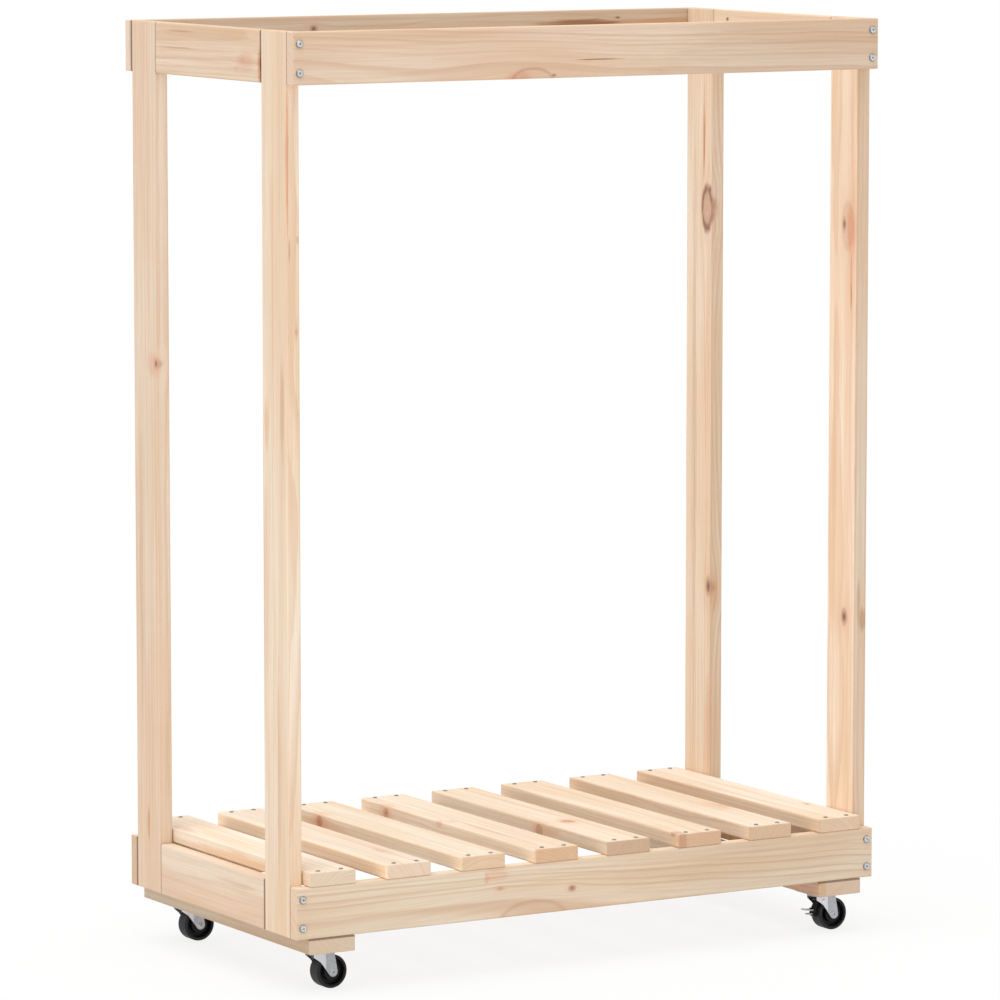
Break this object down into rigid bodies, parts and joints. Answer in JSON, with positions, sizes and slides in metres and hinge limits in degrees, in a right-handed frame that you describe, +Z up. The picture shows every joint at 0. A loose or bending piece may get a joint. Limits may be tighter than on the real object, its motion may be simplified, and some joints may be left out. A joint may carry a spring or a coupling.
{
  "type": "fireside log cart",
  "caption": "Tall open pine frame with a slatted floor for stacking firewood, rolling on small swivel casters, two of them with a foot brake.",
  "frame": {"origin": "on the floor under the middle of the cart", "axes": "+X along the front to the right, +Y from the front to the back, +Z up"},
  "size_m": [0.765, 0.4048, 1.0651],
  "materials": {
    "pine": "planed, unfinished",
    "dowel_wood": "plain",
    "bright_zinc": "bright zinc plate",
    "zinc": "satin zinc plate",
    "black_plastic": "moulded",
    "black_rubber": "moulded"
  },
  "bodies": {
    "frame": {"post_front_left": "pine", "post_back_left": "pine", "post_front_right": "pine", "post_back_right": "pine", "bottom_side_rail_left": "pine", "bottom_side_rail_right": "pine", "top_side_rail_left": "pine", "top_side_rail_right": "pine", "bottom_rail_front": "pine", "bottom_rail_back": "pine", "top_rail_front": "pine", "top_rail_back": "pine", "slat_1": "pine", "slat_2": "pine", "slat_3": "pine", "slat_4": "pine", "slat_5": "pine", "slat_6": "pine", "slat_7": "pine", "slat_8": "pine", "caster_batten_left": "pine", "caster_batten_right": "pine", "side_rail_dowels": "dowel_wood", "rail_screws": "bright_zinc", "slat_screws": "zinc", "batten_screws": "zinc", "caster_screws": "zinc", "caster_plate_fl": "zinc", "caster_plate_bl": "zinc", "caster_plate_fr": "zinc", "caster_plate_br": "zinc", "king_pins": "zinc", "race_balls": "bright_zinc"},
    "swivel_fl": {"fork_fl": "zinc", "axle_fl": "bright_zinc"},
    "roller_fl": {"wheel_fl": "black_plastic", "tyre_fl": "black_rubber"},
    "swivel_bl": {"fork_bl": "zinc", "axle_bl": "bright_zinc"},
    "roller_bl": {"wheel_bl": "black_plastic", "tyre_bl": "black_rubber"},
    "swivel_fr": {"fork_fr": "zinc", "axle_fr": "bright_zinc", "brake_pin_fr": "bright_zinc"},
    "roller_fr": {"wheel_fr": "black_plastic", "tyre_fr": "black_rubber"},
    "pedal_fr": {"brake_pedal_fr": "zinc", "brake_arm_fr": "black_plastic"},
    "swivel_br": {"fork_br": "zinc", "axle_br": "bright_zinc", "brake_pin_br": "bright_zinc"},
    "roller_br": {"wheel_br": "black_plastic", "tyre_br": "black_rubber"},
    "pedal_br": {"brake_pedal_br": "zinc", "brake_arm_br": "black_plastic"}
  },
  "joints": [
    {"name": "swivel_turn_fl", "type": "hinge", "parent": "frame", "child": "swivel_fl", "pos_m": [-0.335, -0.1585, 0.04345], "axis": [0, 0, 1], "continuous": true},
    {"name": "wheel_spin_fl", "type": "hinge", "parent": "swivel_fl", "child": "roller_fl", "pos_m": [-0.32, -0.1585, 0.019], "axis": [0, 1, 0], "continuous": true},
    {"name": "swivel_turn_bl", "type": "hinge", "parent": "frame", "child": "swivel_bl", "pos_m": [-0.335, 0.1585, 0.04345], "axis": [0, 0, 1], "continuous": true},
    {"name": "wheel_spin_bl", "type": "hinge", "parent": "swivel_bl", "child": "roller_bl", "pos_m": [-0.32, 0.1585, 0.019], "axis": [0, 1, 0], "continuous": true},
    {"name": "swivel_turn_fr", "type": "hinge", "parent": "frame", "child": "swivel_fr", "pos_m": [0.335, -0.1585, 0.04345], "axis": [0, 0, 1], "continuous": true},
    {"name": "wheel_spin_fr", "type": "hinge", "parent": "swivel_fr", "child": "roller_fr", "pos_m": [0.35, -0.1585, 0.019], "axis": [0, 1, 0], "continuous": true},
    {"name": "brake_press_fr", "type": "hinge", "parent": "swivel_fr", "child": "pedal_fr", "pos_m": [0.33441, -0.1585, 0.03632], "axis": [0, -1, 0], "range_deg": [0, 5]},
    {"name": "swivel_turn_br", "type": "hinge", "parent": "frame", "child": "swivel_br", "pos_m": [0.335, 0.1585, 0.04345], "axis": [0, 0, 1], "continuous": true},
    {"name": "wheel_spin_br", "type": "hinge", "parent": "swivel_br", "child": "roller_br", "pos_m": [0.35, 0.1585, 0.019], "axis": [0, 1, 0], "continuous": true},
    {"name": "brake_press_br", "type": "hinge", "parent": "swivel_br", "child": "pedal_br", "pos_m": [0.33441, 0.1585, 0.03632], "axis": [0, -1, 0], "range_deg": [0, 5]}
  ]
}
